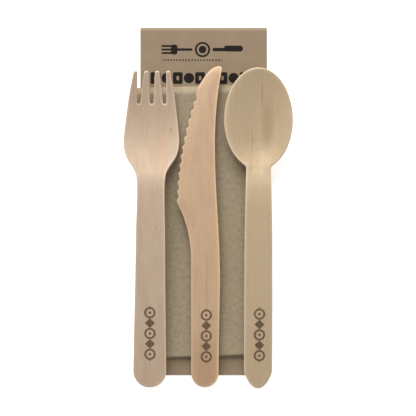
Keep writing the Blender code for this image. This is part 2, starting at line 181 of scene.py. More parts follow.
def veneer_piece(name, plan, kept, underside, place, turn, thickness=None, pale_side=1.0):
    """Closed skin of a bent board. The lower skin is P + lift N and the upper one is
    P + (D - lift) N, where P = (s, t, h(s, t)), N is its unit normal, D the thickness
    and lift = r - sqrt(r^2 - (r - d)^2) at a distance d < r from the outline."""
    cells = grid_cells(*plan.shape[:2])[kept]
    used, faces = np.unique(cells, return_inverse=True)
    faces = faces.reshape(-1, 4)
    flat = plan.reshape(-1, 2)[used]
    s, t = flat.T
    rim = outline_edges(faces)
    d = distance_to_outline(flat, flat[rim[:, 0]], flat[rim[:, 1]])
    depth = np.full(len(s), VENEER) if thickness is None else thickness(s, t, d)
    radius = np.minimum(EDGE_RADIUS, THINNEST_ROUND * depth)
    lift = radius - np.sqrt(radius**2 - (radius - np.minimum(d, radius)) ** 2)
    tiny = 0.02 * MM
    slope_s = (underside(s + tiny, t) - underside(s - tiny, t)) / (2 * tiny)
    slope_t = (underside(s, t + tiny) - underside(s, t - tiny)) / (2 * tiny)
    normal = np.stack([-slope_s, -slope_t, np.ones_like(s)], axis=1)
    normal /= np.linalg.norm(normal, axis=1, keepdims=True)
    board = np.column_stack([s, t, underside(s, t)])
    skins = [board + lift[:, None] * normal, board + (depth - lift)[:, None] * normal]
    points = np.concatenate(skins)
    spin = np.array([[math.cos(turn), -math.sin(turn)], [math.sin(turn), math.cos(turn)]])
    points[:, :2] = points[:, :2] @ spin.T + place
    n = len(flat)
    wall = np.column_stack([rim, rim[:, ::-1] + n])
    faces = np.concatenate([faces[:, ::-1], faces + n, wall])
    # The colour is made paler along the outline, more on one side than the other.
    sided = 0.5 + 0.5 * np.tanh(pale_side * s / PALE_SIDE_BLEND)
    pale = np.exp(-((d / PALE_EDGE) ** 2)) * (0.35 + 0.65 * sided)
    return mesh_piece(name, points, faces, {"pale_edge": np.tile(pale, 2)})


# %% [markdown]
# ## The fork
# Its palm is one patch from the round end of the handle to the roots of the slots,
# and each tine is a patch of its own that carries on from the palm's columns. The
# roots of the slots are round, so the last row of the palm falls back there along a
# circle. The neck is pressed high and the palm low, and the tines rise to their tips.

# %% Fork measures
LYING = float(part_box("wood_fork")[0][2])  # the lowest point of the cutlery
FORK_LENGTH = 158.0 * MM
FORK_PLACE = np.array([-29.2, -89.65]) * MM
FORK_TURN = math.radians(-0.43)
FORK_END_RADIUS = 8.25 * MM
FORK_HALF_WIDTH = [  # (t, half width) in mm
    (8.25, 8.25), (28, 7.95), (55, 7.5), (80, 7.2), (98, 6.85), (103.5, 7.0),
    (107, 7.75), (110.2, 9.5), (113.5, 11.75), (117, 13.25), (121.5, 14.0),
    (128, 13.65), (136, 12.75), (146, 11.4), (158, 9.15),
]
FORK_RISE = [  # (t, height above the lying plane) in mm
    (0, 0.0), (12, 1.25), (35, 3.35), (60, 5.2), (82, 6.4), (96, 6.75), (101, 6.6),
    (105, 5.95), (109, 4.5), (114, 2.6), (119, 1.15), (124, 0.3), (129.5, 0.0),
    (134.5, 0.12), (140, 0.65), (148, 1.95), (158, 4.0),
]
HEAD_DISH = 0.9 * MM
HEAD_DISH_FROM, HEAD_DISH_TO = 108 * MM, 122 * MM
HEAD_HALF_WIDTH = max(w for _, w in FORK_HALF_WIDTH) * MM
SLOT_ROOT = 141.65 * MM
SLOT_ROOT_RADIUS = 0.83 * MM
SLOT_CENTRES = np.array([(-6.53, -5.5), (0.0, 0.0), (6.53, 5.5)]) * MM  # root, tips
SLOT_HALF_WIDTH_AT_TIPS = np.array([1.7, 1.6, 1.7]) * MM
FRONT = SLOT_ROOT + SLOT_ROOT_RADIUS


# %% Fork surface
def fork_half_width(t):
    """A circle over the end of the handle, then the curve through the stations."""
    end = np.sqrt(np.clip(FORK_END_RADIUS**2 - (FORK_END_RADIUS - t) ** 2, 0, None))
    return np.where(t < FORK_END_RADIUS, end, smooth_curve(FORK_HALF_WIDTH, t))


def fork_underside(s, t):
    """The pressed rise along t, plus a dish of k s^2 across the head."""
    dish = HEAD_DISH * (s / HEAD_HALF_WIDTH) ** 2
    head = eased(t, HEAD_DISH_FROM, HEAD_DISH_TO)
    return LYING + smooth_curve(FORK_RISE, t) + dish * head


def fork_columns():
    """Places across the palm's front, tine after slot after tine, how far the front
    falls back at each, sqrt(r^2 - s^2) in a slot, and each tine's column range."""
    edge = float(fork_half_width(np.array(FRONT)))
    places, dips, tines = [np.array([-edge])], [np.zeros(1)], []
    turns = np.linspace(-math.pi / 2, math.pi / 2, 11)[1:]
    for k, root in enumerate([*SLOT_CENTRES[:, 0], None]):
        start = places[-1][-1]
        stop = edge if root is None else root - SLOT_ROOT_RADIUS
        tine = start + (stop - start) * columns_from(stop - start, 0.6 * MM)[1:]
        first = sum(map(len, places)) - 1
        tines.append((first, first + len(tine)))
        places.append(tine)
        dips.append(np.zeros(len(tine)))
        if root is not None:
            places.append(root + SLOT_ROOT_RADIUS * np.sin(turns))
            dips.append(SLOT_ROOT_RADIUS * np.cos(turns))
    return np.concatenate(places), np.concatenate(dips), tines


def tine_sides(tine, t):
    """A tine's left and right sides: straight along a slot, and the palm's own
    outline on the outside of the first and last tine."""
    f = (t - FRONT) / (FORK_LENGTH - FRONT)

    def slot_side(slot, side):
        root, tip = SLOT_CENTRES[slot]
        start = root + side * SLOT_ROOT_RADIUS
        return start + f * (tip + side * SLOT_HALF_WIDTH_AT_TIPS[slot] - start)

    outer = fork_half_width(t)
    left = -outer if tine == 0 else slot_side(tine - 1, 1)
    right = outer if tine == len(SLOT_CENTRES) else slot_side(tine, -1)
    return left, right


def tine_grid(tine, lower):
    """A tine's patch. Its tip is a half circle of the tine's own half width."""
    tip_left, tip_right = tine_sides(tine, np.array([FORK_LENGTH]))
    radius = float(tip_right[0] - tip_left[0]) / 2
    centre_t = FORK_LENGTH - radius
    t = stations(FRONT, centre_t + radius * math.sin(math.pi / 4), 0.5 * MM)
    left, right = tine_sides(tine, t)
    inset = radius - np.sqrt(radius**2 - np.clip(t - centre_t, 0, radius) ** 2)
    across = unit(lower[:, 0])
    turn = math.pi / 4 * (2 * across - 1)
    middle = (left[-1] + right[-1]) / 2
    tip = np.stack([middle + radius * np.sin(turn), centre_t + radius * np.cos(turn)], axis=1)
    left_curve = np.stack([left + inset, t], axis=1)
    right_curve = np.stack([right - inset, t], axis=1)
    left_curve[-1], right_curve[-1] = tip[0], tip[-1]
    return spanned(left_curve, right_curve, lower, tip, across, unit(t))


def make_fork():
    places, dips, tines = fork_columns()
    across = unit(places)
    cut = FORK_END_RADIUS * (1 - math.cos(math.pi / 4))
    handle = stations(cut, 98 * MM, 1.6 * MM)[:-6]
    t = np.concatenate([handle, stations(98 * MM, FRONT, 0.8 * MM)[6:]])
    side = fork_half_width(t)
    lower = round_end(fork_half_width, cut, 0.0, across)
    upper = np.stack([places, FRONT - dips], axis=1)
    left, right = np.stack([-side, t], axis=1), np.stack([side, t], axis=1)
    palm = spanned(left, right, lower, upper, across, unit(t))
    grids = [tine_grid(k, palm[-1, a : b + 1]) for k, (a, b) in enumerate(tines)]
    longest = max(len(g) for g in grids)
    plan = np.zeros((len(t) + longest - 1, len(places), 2))
    kept = np.zeros((plan.shape[0] - 1, plan.shape[1] - 1), bool)
    plan[: len(t)] = palm
    kept[: len(t) - 1] = True
    for (first, last), grid in zip(tines, grids):
        rows = slice(len(t) - 1, len(t) - 1 + len(grid))
        plan[rows, first : last + 1] = grid
        kept[len(t) - 1 : len(t) - 2 + len(grid), first:last] = True
    return veneer_piece("birch_fork", plan, kept, fork_underside, FORK_PLACE, FORK_TURN)


fork = make_fork()


# %% [markdown]
# ## The spoon
# The outline is an oval bowl joined to the handle with a small fillet. The rim's
# height follows one curve along the spoon, and the hollow is taken away from it as
# D (1 - r^2)^p, which is deepest in the middle and meets the rim at an angle, as a
# pressed bowl does.

# %% Spoon measures and surface
SPOON_LENGTH = 160.0 * MM
SPOON_PLACE = np.array([24.9, -90.12]) * MM
SPOON_TURN = math.radians(-0.1)
BOWL_CENTRE = 133.8 * MM
BOWL_HALF_WIDTH = 17.13 * MM
BOWL_BACK = 24.75 * MM
SPOON_HANDLE = [  # (t, half width) in mm
    (0, 7.0), (48, 7.0), (86, 6.7), (104, 6.27), (112, 6.1), (160, 6.1),
]
SPOON_END = 8.5 * MM
SPOON_END_POWER = 1.22
NECK_FILLET = 0.8 * MM
SPOON_RISE = [  # (t, height of the rim above the lying plane) in mm
    (0, 0.0), (12, 1.25), (35, 3.35), (60, 5.1), (82, 6.25), (96, 6.6), (101, 6.25),
    (106, 5.2), (110, 4.6), (114, 4.35), (122, 4.2), (134, 4.1), (142, 4.1),
    (150, 4.3), (160, 4.75),
]
SPOON_HOLLOW = [  # (t, depth of the bowl's middle below its rim) in mm
    (0, 0.0), (98, 0.0), (102, 0.0), (106, 0.15), (110, 1.25), (114, 2.7), (118, 3.8),
    (121.5, 4.15), (127, 3.95), (134, 3.4), (142, 2.5), (150, 1.45), (156, 0.65), (160, 0.0),
]
HOLLOW_POWER = 2.0
RIM_FLAT = 0.2 * MM  # how far outside the outline the hollow would end


def spoon_half_width(t):
    """The larger of the oval's and the handle's half width, with the corner between
    them filled: (a + b + sqrt((a - b)^2 + k^2)) / 2."""
    reach = np.where(t < BOWL_CENTRE, BOWL_BACK, SPOON_LENGTH - BOWL_CENTRE)
    bowl = BOWL_HALF_WIDTH * np.sqrt(np.clip(1 - ((t - BOWL_CENTRE) / reach) ** 2, 0, None))
    closing = np.sqrt(1 - (1 - np.clip(t / SPOON_END, 0, 1)) ** SPOON_END_POWER)
    handle = smooth_curve(SPOON_HANDLE, t) * closing
    joined = (bowl + handle + np.sqrt((bowl - handle) ** 2 + NECK_FILLET**2)) / 2
    return np.where(t > BOWL_CENTRE, bowl, np.where(t < BOWL_CENTRE - BOWL_BACK, handle, joined))


def spoon_underside(s, t):
    """The rim's rise less the hollow, D(t) (1 - (s / w)^2)^p, where D is the hollow's
    depth along the middle and w the half width."""
    share = np.clip(1 - (s / (spoon_half_width(t) + RIM_FLAT)) ** 2, 0, 1)
    depth = smooth_curve(SPOON_HOLLOW, t) * share**HOLLOW_POWER
    return LYING + smooth_curve(SPOON_RISE, t) - depth


def make_spoon():
    across = columns_from(2 * BOWL_HALF_WIDTH, 0.9 * MM)
    low_cut = 2.0 * MM
    high_cut = BOWL_CENTRE + (SPOON_LENGTH - BOWL_CENTRE) * math.sin(math.pi / 4)
    handle = stations(low_cut, 98 * MM, 1.6 * MM)[:-6]
    t = np.concatenate([handle, stations(98 * MM, high_cut, 0.8 * MM)[6:]])
    side = spoon_half_width(t)
    lower = round_end(spoon_half_width, low_cut, 0.0, across)
    upper = round_end(spoon_half_width, high_cut, SPOON_LENGTH, across)
    left, right = np.stack([-side, t], axis=1), np.stack([side, t], axis=1)
    plan = spanned(left, right, lower, upper, across, unit(t))
    kept = np.ones((plan.shape[0] - 1, plan.shape[1] - 1), bool)
    return veneer_piece(
        "birch_spoon", plan, kept, spoon_underside, SPOON_PLACE, SPOON_TURN, pale_side=-1.0
    )


spoon = make_spoon()


# %% [markdown]
# ## The knife
# The back is straight, and the blade's side runs from the handle out to the heel and
# then along twelve teeth to the tip. A tooth is a share of one pitch: a short edge
# runs from its tip in to the root, and a long one back out to the next tip. The press
# also thins the blade towards its edge, which leaves a broad, shallow bevel.

# %% Knife measures and surface
KNIFE_PLACE = np.array([-1.55, -89.65]) * MM
KNIFE_BACK = [(7, 6.8), (30, 7.1), (49, 7.47), (153, 7.47), (158, 8.35), (158.85, 8.5)]
KNIFE_HANDLE_SIDE = -6.95 * MM
KNIFE_END_RADIUS = 7.05 * MM
HEEL_S, HEEL_T = -14.05 * MM, 92.2 * MM
HEEL_CURVE_FROM, HEEL_CURVE_POWER = 62 * MM, 2.3
EDGE_END_S, EDGE_END_T, EDGE_CURVE_POWER = -3.0 * MM, 150.65 * MM, 1.9
TIP_CURVE = [(150.65, -3.0), (153.75, -1.05), (156.65, 1.0), (158.25, 2.6), (159.2, 3.8)]
TIP_ARC = [(0, 3.8, 159.2), (1, 5.0, 159.85), (2, 6.7, 160.3), (3, 8.0, 159.9), (4, 8.5, 158.85)]
FIRST_TOOTH, TOOTH_PITCH, TOOTH_COUNT = 93.5 * MM, 4.42 * MM, 12
TOOTH_DEPTHS = (1.0 * MM, 1.55 * MM)
TOOTH_ROOT = 0.28
KNIFE_RISE = [(0, 0.0), (20, 1.3), (50, 2.6), (90, 3.2), (125, 2.6), (160.3, 1.4)]
BEVEL_WIDTH, EDGE_SHARE = 6.5 * MM, 0.5
FACET_WIDTH, FACET_DEPTH = 1.7 * MM, 0.45 * MM
FACET_FROM = (149 * MM, 151 * MM)  # where the facet begins, along t
FACET_TO = (5.0 * MM, 7.0 * MM)  # where it ends, across s


def edge_without_teeth(t):
    """The blade's side: handle, power curve to the heel, power curve through the
    teeth's tips, then the tip's own curve."""
    out = np.clip((t - HEEL_CURVE_FROM) / (HEEL_T - HEEL_CURVE_FROM), 0, 1)
    handle = KNIFE_HANDLE_SIDE + (HEEL_S - KNIFE_HANDLE_SIDE) * out**HEEL_CURVE_POWER
    along = np.clip((t - HEEL_T) / (EDGE_END_T - HEEL_T), 0, 1)
    edge = HEEL_S + (EDGE_END_S - HEEL_S) * along**EDGE_CURVE_POWER
    tip = smooth_curve(TIP_CURVE, t)
    return np.where(t < HEEL_T, handle, np.where(t < EDGE_END_T, edge, tip))


def tooth_depth(t):
    """Depth of the edge behind the teeth's tips: the soft minimum of a short rise and
    a long fall, rounded at the tip as sqrt(m^2 + e^2) - e."""
    turns = (t - FIRST_TOOTH) / TOOTH_PITCH
    f = turns - np.floor(turns)
    rise, fall = f / TOOTH_ROOT, (1 - f) / (1 - TOOTH_ROOT)
    low = (rise + fall - np.sqrt((rise - fall) ** 2 + 0.15**2)) / 2
    rounded = np.sqrt(np.maximum(low, 0) ** 2 + 0.12**2) - 0.12
    depth = np.interp(turns, (0, TOOTH_COUNT), TOOTH_DEPTHS)
    return np.where((turns > 0) & (turns < TOOTH_COUNT), depth * rounded, 0.0)


def knife_underside(s, t):
    return LYING + smooth_curve(KNIFE_RISE, t) + 0 * s


def tip_facet(s, t):
    """1 beside the tip's curve, where the blade was ground, and 0 elsewhere."""
    return eased(t, *FACET_FROM) * (1 - eased(s, *FACET_TO))


def knife_thickness(s, t, d):
    """The veneer, thinned along the bevel beside the cutting edge, and once more
    over the facet, where it falls by depth (1 - d / width)."""
    bladed = eased(t, HEEL_CURVE_FROM, HEEL_T)
    bevel = 1 - eased(s - edge_without_teeth(t), 0, BEVEL_WIDTH)
    facet = tip_facet(s, t) * np.clip(1 - d / FACET_WIDTH, 0, 1)
    return VENEER * (1 - (1 - EDGE_SHARE) * bevel * bladed) - FACET_DEPTH * facet


def make_knife():
    across = columns_from(20 * MM, 0.6 * MM)
    cut = KNIFE_END_RADIUS * (1 - math.cos(math.pi / 4))
    toothed_to = FIRST_TOOTH + TOOTH_COUNT * TOOTH_PITCH
    teeth = np.linspace(FIRST_TOOTH, toothed_to, 14 * TOOTH_COUNT + 1)
    t = np.concatenate([
        stations(cut, 60 * MM, 1.4 * MM)[:-7],
        np.linspace(59 * MM, FIRST_TOOTH, 36)[:-1],
        teeth[:-1],
        stations(toothed_to, TIP_CURVE[-1][0] * MM, 0.3 * MM)[6:],
    ])
    left = edge_without_teeth(t) + tooth_depth(t)
    t_right = np.interp(t, (t[0], 150 * MM, t[-1]), (t[0], 150 * MM, KNIFE_BACK[-1][0] * MM))
    right = smooth_curve(KNIFE_BACK, np.maximum(t_right, KNIFE_BACK[0][0] * MM))
    short = KNIFE_END_RADIUS - np.minimum(t, KNIFE_END_RADIUS)
    inset = KNIFE_END_RADIUS - np.sqrt(KNIFE_END_RADIUS**2 - short**2)
    left, right = left + inset, right - inset
    turn = math.pi / 4 * (2 * across - 1)
    middle, half = (left[0] + right[0]) / 2, (right[0] - left[0]) / 2
    end_t = cut * (1 - np.cos(turn)) / (1 - math.cos(math.pi / 4))
    lower = np.stack([middle + half * np.sin(turn) / math.sin(math.pi / 4), end_t], axis=1)
    order, arc_s, arc_t = np.array(TIP_ARC).T
    at = across * order[-1] * MM
    upper_s = smooth_curve(np.column_stack([order, arc_s]), at)
    upper_t = smooth_curve(np.column_stack([order, arc_t]), at)
    upper = np.stack([upper_s, upper_t], axis=1)
    left_curve, right_curve = np.stack([left, t], axis=1), np.stack([right, t_right], axis=1)
    plan = spanned(left_curve, right_curve, lower, upper, across, unit(t))
    kept = np.ones((plan.shape[0] - 1, plan.shape[1] - 1), bool)
    return veneer_piece(
        "birch_knife", plan, kept, knife_underside, KNIFE_PLACE, 0.0, thickness=knife_thickness
    )


knife = make_knife()


# %% [markdown]
# ## The napkin
# A napkin is one square-ish sheet folded in half three times. Folding is a formula: the
# part past the fold line is rolled round a half circle about an axis above the layers
# and laid back on top of them. Each layer has its own radius there, so the layers
# come out staggered at the open end, as they do in real paper. Three such folds turn
# a flat grid into eight layers, and no layer can pass through another.

# %% Fold the tissue
TISSUE_FLAT = (244.0 * MM, 269.0 * MM)
TISSUE_THICKNESS = 0.11 * MM
LAYER_PITCH = 0.215 * MM
FOLD_SHIFT = 0.45 * MM  # how far the last fold lies off the middle
# The paler crease along the last fold is a painted highlight on the fold's crest, partly fibres burnished by the
# fold.
FOLD_HIGHLIGHT_REACH = 0.8 * MM  # reach of the paler crease
NAPKIN_PLACE = np.array([-3.55, -6.9]) * MM
NAPKIN_TURN = math.radians(1.75)


def folded(x, z, at, stack):
    """Rolls what lies past at up and over a stack of the given height. With the axis
    at c = stack + half a pitch and r = c - z: x = at + r sin(w/r), z = c - r cos(w/r)
    on the roll, where w is the way past the line, then flat again at 2c - z."""
    centre = stack + LAYER_PITCH / 2
    radius = centre - z
    past = x - at
    angle = np.clip(past / radius, 0, math.pi)
    rolled_x = at + radius * np.sin(angle) - np.maximum(past - math.pi * radius, 0)
    rolled_z = centre - radius * np.cos(angle)
    return np.where(past > 0, rolled_x, x), np.where(past > 0, rolled_z, z)


def fold_stations(length, folds, reach, step):
    """Places along a sheet, close together for a short way past each fold."""
    marks = [0.0, *folds, length]
    parts = []
    for k, start in enumerate(marks[:-1]):
        stop = marks[k + 1]
        if k > 0:
            parts.append(np.linspace(start - 0.2 * MM, start + reach, 12)[:-1])
            start += reach
        if k + 1 < len(marks) - 1:
            stop -= 0.2 * MM
        count = max(2, int((stop - start) / step))
        parts.append(np.linspace(start, stop, count)[: None if k + 2 == len(marks) else -1])
    return np.concatenate(parts)


def soft_waves(x, y, seed, lengths, height):
    """A sum of sines of random direction and phase, for the unevenness of paper."""
    draw = np.random.default_rng(seed)
    total = np.zeros_like(x)
    for length in lengths:
        turn, phase = draw.uniform(0, 2 * math.pi, 2)
        total += np.sin(2 * math.pi * (x * math.cos(turn) + y * math.sin(turn)) / length + phase)
    return height * total / len(lengths)


def make_napkin():
    width, length = TISSUE_FLAT
    a = fold_stations(width, [width / 4, width / 2, width * 3 / 4 - 2 * LAYER_PITCH], 1.5 * MM, 2.2 * MM)
    fold = length / 2 - FOLD_SHIFT
    b = fold_stations(length, [fold], 3.0 * MM, 2.2 * MM)
    y, x = np.meshgrid(b, a, indexing="ij")
    z = np.zeros_like(x)
    x, z = folded(x, z, width / 2, 0.0)
    x, z = folded(x, z, width / 4, LAYER_PITCH)
    y, z = folded(y, z, fold, 3 * LAYER_PITCH)
    x, y = width / 4 / 2 - x, length / 2 / 2 - y
    share = z / (7 * LAYER_PITCH)
    wave = soft_waves(x, y, 4, np.array([9, 13, 17, 23, 31]) * MM, 0.07 * MM)
    z = z + wave * share
    foot = float(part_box("folded_napkin")[0][2]) + 0.05 * MM
    spin_c, spin_s = math.cos(NAPKIN_TURN), math.sin(NAPKIN_TURN)
    points = np.stack([
        NAPKIN_PLACE[0] + x * spin_c - y * spin_s,
        NAPKIN_PLACE[1] + x * spin_s + y * spin_c,
        foot + z,
    ], axis=-1)
    faces = grid_cells(*x.shape).reshape(-1, 4)
    # The tissue is painted paler along the fold: a painted highlight on the crest of its roll, partly burnished
    # fibres.
    roll_middle = fold + math.pi / 2 * 2 * LAYER_PITCH
    fold_shine_and_wear = np.exp(-(((np.broadcast_to(b[:, None], x.shape) - roll_middle) / FOLD_HIGHLIGHT_REACH) ** 2))
    piece = mesh_piece("tissue_napkin", points.reshape(-1, 3), faces, {"fold_highlight_and_wear": fold_shine_and_wear.ravel()})
    body = piece.modifiers.new("thickness", "SOLIDIFY")
    body.thickness = TISSUE_THICKNESS
    body.offset = 0.0
    return piece


napkin = make_napkin()


# %% [markdown]
# ## The sleeve
# The sleeve is one kraft sheet that goes round a flat oval loop: over the front, round
# a tight fold at each side, and along the back, where its two edges lap and are glued.
# The loop's section is carried along its length. At the closed end the front comes
# down onto the back, and both are crimped into small ribs.

# %% Fold the kraft sheet
KRAFT_THICKNESS = 0.12 * MM
SLEEVE_LAP = 12.0 * MM
SLEEVE_FOLD_RADIUS = 0.28 * MM
CRIMP_LENGTH, CRIMP_PITCH, CRIMP_HEIGHT = 3.0 * MM, 0.75 * MM, 0.05 * MM
SEAL_RAMP = 5.0 * MM


def sleeve_section(half_width, step):
    """(x, z, way round) along the loop: back lap, left fold, front, right fold, back."""
    r = SLEEVE_FOLD_RADIUS
    straight = half_width - r
    back_left = np.linspace(SLEEVE_LAP / 2, -straight, int(half_width / step))
    front = np.linspace(-straight, straight, int(2 * half_width / step))
    back_right = np.linspace(straight, -SLEEVE_LAP / 2, int(1.2 * half_width / step))
    turn = np.linspace(0, math.pi, 9)[1:-1]
    x = np.concatenate([back_left, -straight - r * np.sin(turn), front, straight + r * np.sin(turn), back_right])
    inner = KRAFT_THICKNESS * 1.15 * eased(back_left, -SLEEVE_LAP, -SLEEVE_LAP / 2)
    z = np.concatenate([
        inner, r - r * np.cos(turn), np.full(len(front), 2 * r), r + r * np.cos(turn),
        np.zeros(len(back_right)),
    ])
    way = np.concatenate([[0], np.cumsum(np.hypot(np.diff(x), np.diff(z)))])
    return x, z, way


def make_sleeve():
    low, high = (np.array(corner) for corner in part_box("kraft_sleeve"))
    half_width = (high[0] - low[0]) / 2 - KRAFT_THICKNESS / 2
    x, z, way = sleeve_section(half_width, 1.5 * MM)
    crimp = np.arange(0, CRIMP_LENGTH, CRIMP_PITCH / 8)
    ramp = np.linspace(CRIMP_LENGTH, CRIMP_LENGTH + SEAL_RAMP, 12)[:-1]
    plain = np.linspace(CRIMP_LENGTH + SEAL_RAMP, high[1] - low[1], 90)
    y = np.concatenate([crimp, ramp, plain])
    ribs = CRIMP_HEIGHT * np.sin(2 * math.pi * y / CRIMP_PITCH) * (y < CRIMP_LENGTH)
    closed = 1 - eased(y, CRIMP_LENGTH, CRIMP_LENGTH + SEAL_RAMP)
    flat_height = 2.3 * KRAFT_THICKNESS / (2 * SLEEVE_FOLD_RADIUS)
    squeeze = 1 - (1 - flat_height) * closed
    height = np.minimum(z, 2 * SLEEVE_FOLD_RADIUS)[None] * squeeze[:, None] + ribs[:, None]
    lap = (z[None] > 0) * (z[None] < 1.2 * KRAFT_THICKNESS) * (np.abs(x[None]) < SLEEVE_LAP)
    height = np.where(lap, z[None] + ribs[:, None], height)
    middle = (high[0] + low[0]) / 2
    foot = low[2] + KRAFT_THICKNESS / 2 + CRIMP_HEIGHT
    points = np.stack([
        np.broadcast_to(middle + x, height.shape),
        np.broadcast_to((low[1] + y)[:, None], height.shape),
        foot + height,
    ], axis=-1)
    faces = grid_cells(*height.shape).reshape(-1, 4)
    piece = mesh_piece("kraft_paper_sleeve", points.reshape(-1, 3), faces)
    body = piece.modifiers.new("thickness", "SOLIDIFY")
    body.thickness = KRAFT_THICKNESS
    body.offset = 0.0
    return piece, float(way[-1]), float(high[1] - low[1])


sleeve, sleeve_round, sleeve_long = make_sleeve()
print("kraft sheet", round(sleeve_round / MM, 1), "x", round(sleeve_long / MM, 1), "mm flat")


# %% [markdown]
# ## Building materials from nodes
# Every pattern below is drawn in millimetres on the object's own coordinates, so its
# scale can be compared with a ruler. Two helpers do most of the work: one adds a node
# with its settings and links, and one gives a stretched noise, because wood fibres
# and paper fibres are both noise that is longer one way than the other.

# %% Colour and node helpers
MIX_A, MIX_B, MIX_COLOUR = 6, 7, 2  # the colour sockets of a Mix node


def linear(colour):
    """sRGB hex to linear RGBA: c / 12.92 for a dark c, else ((c + 0.055) / 1.055)^2.4."""
    values = np.array([int(colour[i : i + 2], 16) for i in (1, 3, 5)]) / 255
    low, high = values / 12.92, ((values + 0.055) / 1.055) ** 2.4
    return (*np.where(values <= 0.04045, low, high).tolist(), 1.0)


def add_node(tree, kind, inputs=None, **settings):
    """Adds a node. settings are its properties, and inputs gives each named or
    numbered socket a value or another node's output."""
    node = tree.nodes.new(kind)
    for name, value in settings.items():
        setattr(node, name, value)
    for key, value in (inputs or {}).items():
        if isinstance(value, bpy.types.NodeSocket):
            tree.links.new(value, node.inputs[key])
        else:
            node.inputs[key].default_value = value
    return node


def new_material(name):
    """A material with its shader, and a vector that gives the place in mm."""
    material = bpy.data.materials.new(name)
    material.use_nodes = True
    tree = material.node_tree
    coords = add_node(tree, "ShaderNodeTexCoord").outputs["Object"]
    scaled = add_node(tree, "ShaderNodeVectorMath", {0: coords, "Scale": 1 / MM}, operation="SCALE")
    return material, tree, tree.nodes["Principled BSDF"], scaled.outputs[0]


def fibres(tree, place, size, detail=2.0, roughness=0.5):
    """Noise whose features are about size mm long along x, y and z, from 0 to 1."""
    inverse = tuple(1 / length for length in size)
    cells = add_node(tree, "ShaderNodeVectorMath", {0: place, 1: inverse}, operation="MULTIPLY")
    noise = add_node(tree, "ShaderNodeTexNoise", {
        "Vector": cells.outputs[0], "Scale": 1.0, "Detail": detail, "Roughness": roughness,
    })
    return noise.outputs["Fac"]


def ramp(tree, value, low, high, to_low=0.0, to_high=1.0):
    """Eases a value from to_low, at low and below it, to to_high, at high and above."""
    node = add_node(tree, "ShaderNodeMapRange", {
        "Value": value, "From Min": low, "From Max": high, "To Min": to_low, "To Max": to_high,
    }, interpolation_type="SMOOTHSTEP")
    return node.outputs["Result"]


def bar(tree, place, centre, half, corner=0.3):
    """1 inside a flat bar with round corners, from its distance field: the length of
    max(|p - c| - half + corner, 0), less the corner."""
    inset = (half[0] - corner, half[1] - corner, 1e6)
    away = add_node(tree, "ShaderNodeVectorMath", {0: place, 1: (*centre, 0.0)}, operation="SUBTRACT")
    away = add_node(tree, "ShaderNodeVectorMath", {0: away.outputs[0]}, operation="ABSOLUTE")
    away = add_node(tree, "ShaderNodeVectorMath", {0: away.outputs[0], 1: inset}, operation="SUBTRACT")
    away = add_node(tree, "ShaderNodeVectorMath", {0: away.outputs[0], 1: (0, 0, 0)}, operation="MAXIMUM")
    length = add_node(tree, "ShaderNodeVectorMath", {0: away.outputs[0]}, operation="LENGTH")
    return ramp(tree, length.outputs["Value"], corner - INK_BLUR, corner + INK_BLUR, 1.0, 0.0)


def united(tree, masks):
    """The largest of several masks."""
    total = masks[0]
    for mask in masks[1:]:
        total = add_node(tree, "ShaderNodeMath", {0: total, 1: mask}, operation="MAXIMUM").outputs[0]
    return total


INK_BLUR = 0.12  # mm over which an edge of print fades


# %% [markdown]
# ## Pressed birch
# Rotary-cut birch is pale and close-grained. Its figure is made of the contour lines
# of the growth rings, which the peeling knife cuts almost flat, so they're drawn as
# contour lines too: a sine of a noise that is stretched along the grain. Over it lie
# fine fibres and the short dark dashes of the vessels. The colour is paler along the
# outline of each piece, more so on one side. The surface is unfinished wood, sanded by
# tumbling, so it is matt with a faint sheen.

# %% Birch
FLAT = 1000.0  # mm, long enough that a pattern doesn't change through a piece


def spot(tree, place, centre, half):
    """1 at a centre, fading to 0 on an oval of the given half axes."""
    away = add_node(tree, "ShaderNodeVectorMath", {0: place, 1: (*centre, 0.0)}, operation="SUBTRACT")
    size = (1 / half[0], 1 / half[1], 0.0)
    away = add_node(tree, "ShaderNodeVectorMath", {0: away.outputs[0], 1: size}, operation="MULTIPLY")
    length = add_node(tree, "ShaderNodeVectorMath", {0: away.outputs[0]}, operation="LENGTH")
    return ramp(tree, length.outputs["Value"], 0.25, 1.0, 1.0, 0.0)


STAMP_STEP = 5.2  # mm between a ring and the next diamond
STAMP_RING, STAMP_LINE = 2.35, 0.48  # mm, radius of a ring and half the width of its line
STAMP_DIAMOND = 2.5  # mm, half diagonal


